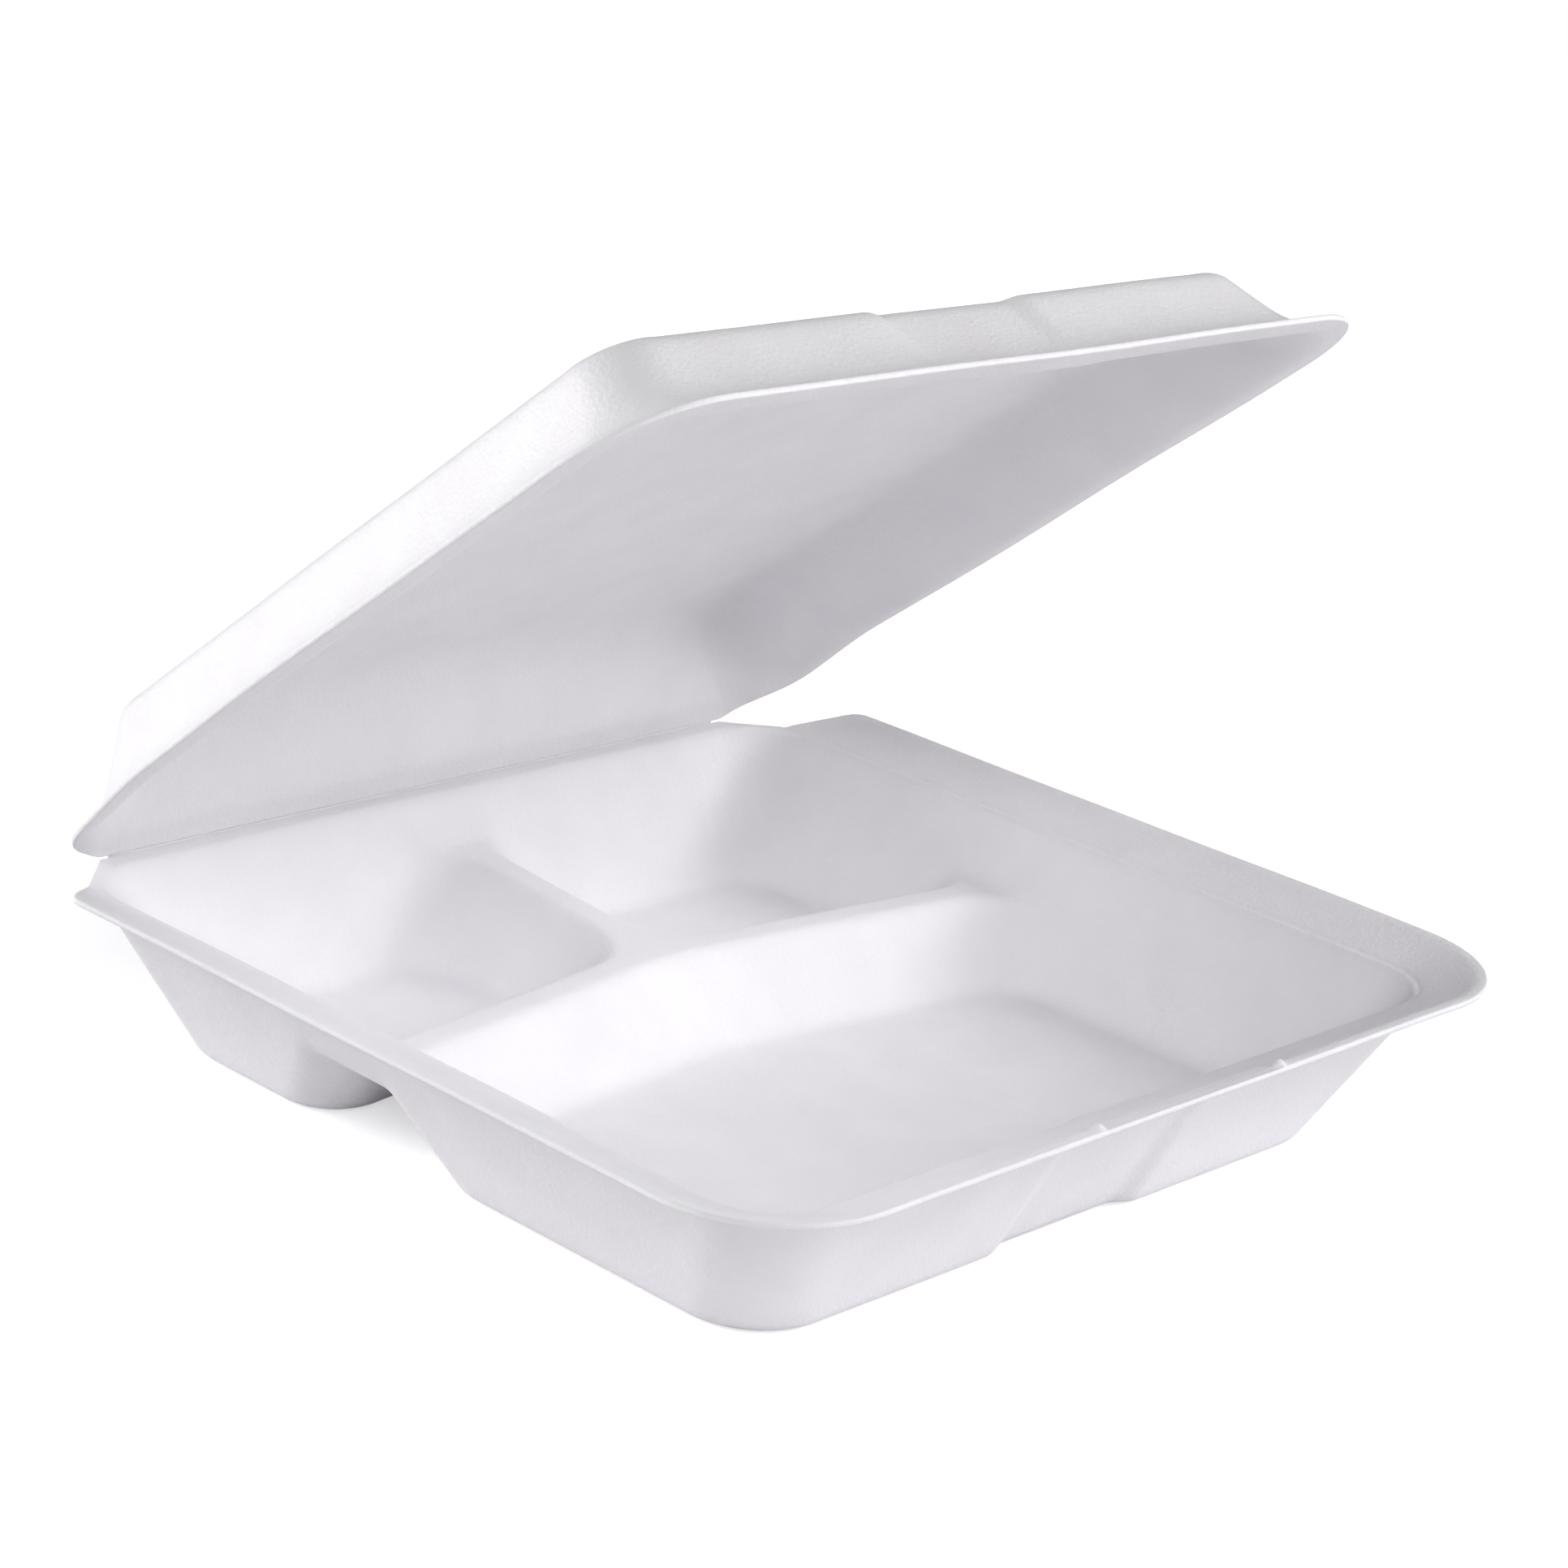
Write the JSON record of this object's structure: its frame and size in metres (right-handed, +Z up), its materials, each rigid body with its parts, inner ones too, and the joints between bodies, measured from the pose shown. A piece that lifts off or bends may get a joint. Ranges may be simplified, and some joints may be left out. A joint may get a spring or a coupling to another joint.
{
  "type": "foam clamshell container",
  "caption": "Square white foam clamshell food container with a domed lid hinged open along the back edge and low moulded dividers parting the tray into portions.",
  "frame": {"origin": "on the underside of the tray's floor, under the middle of the tray's rim", "axes": "+X along the hinge crease from left to right, +Y from the front with the finger recess towards the crease, +Z up"},
  "size_m": [0.229, 0.2179, 0.171],
  "materials": {
    "foam": "matt expanded foam sheet with a fine cell pattern"
  },
  "bodies": {
    "tray": {"tray": "foam"},
    "lid": {"lid": "foam"}
  },
  "joints": [
    {"name": "crease", "type": "hinge", "parent": "tray", "child": "lid", "pos_m": [0, 0.108, 0.0335], "axis": [-1, 0, 0], "range_deg": [-38.65, 141.35]}
  ]
}
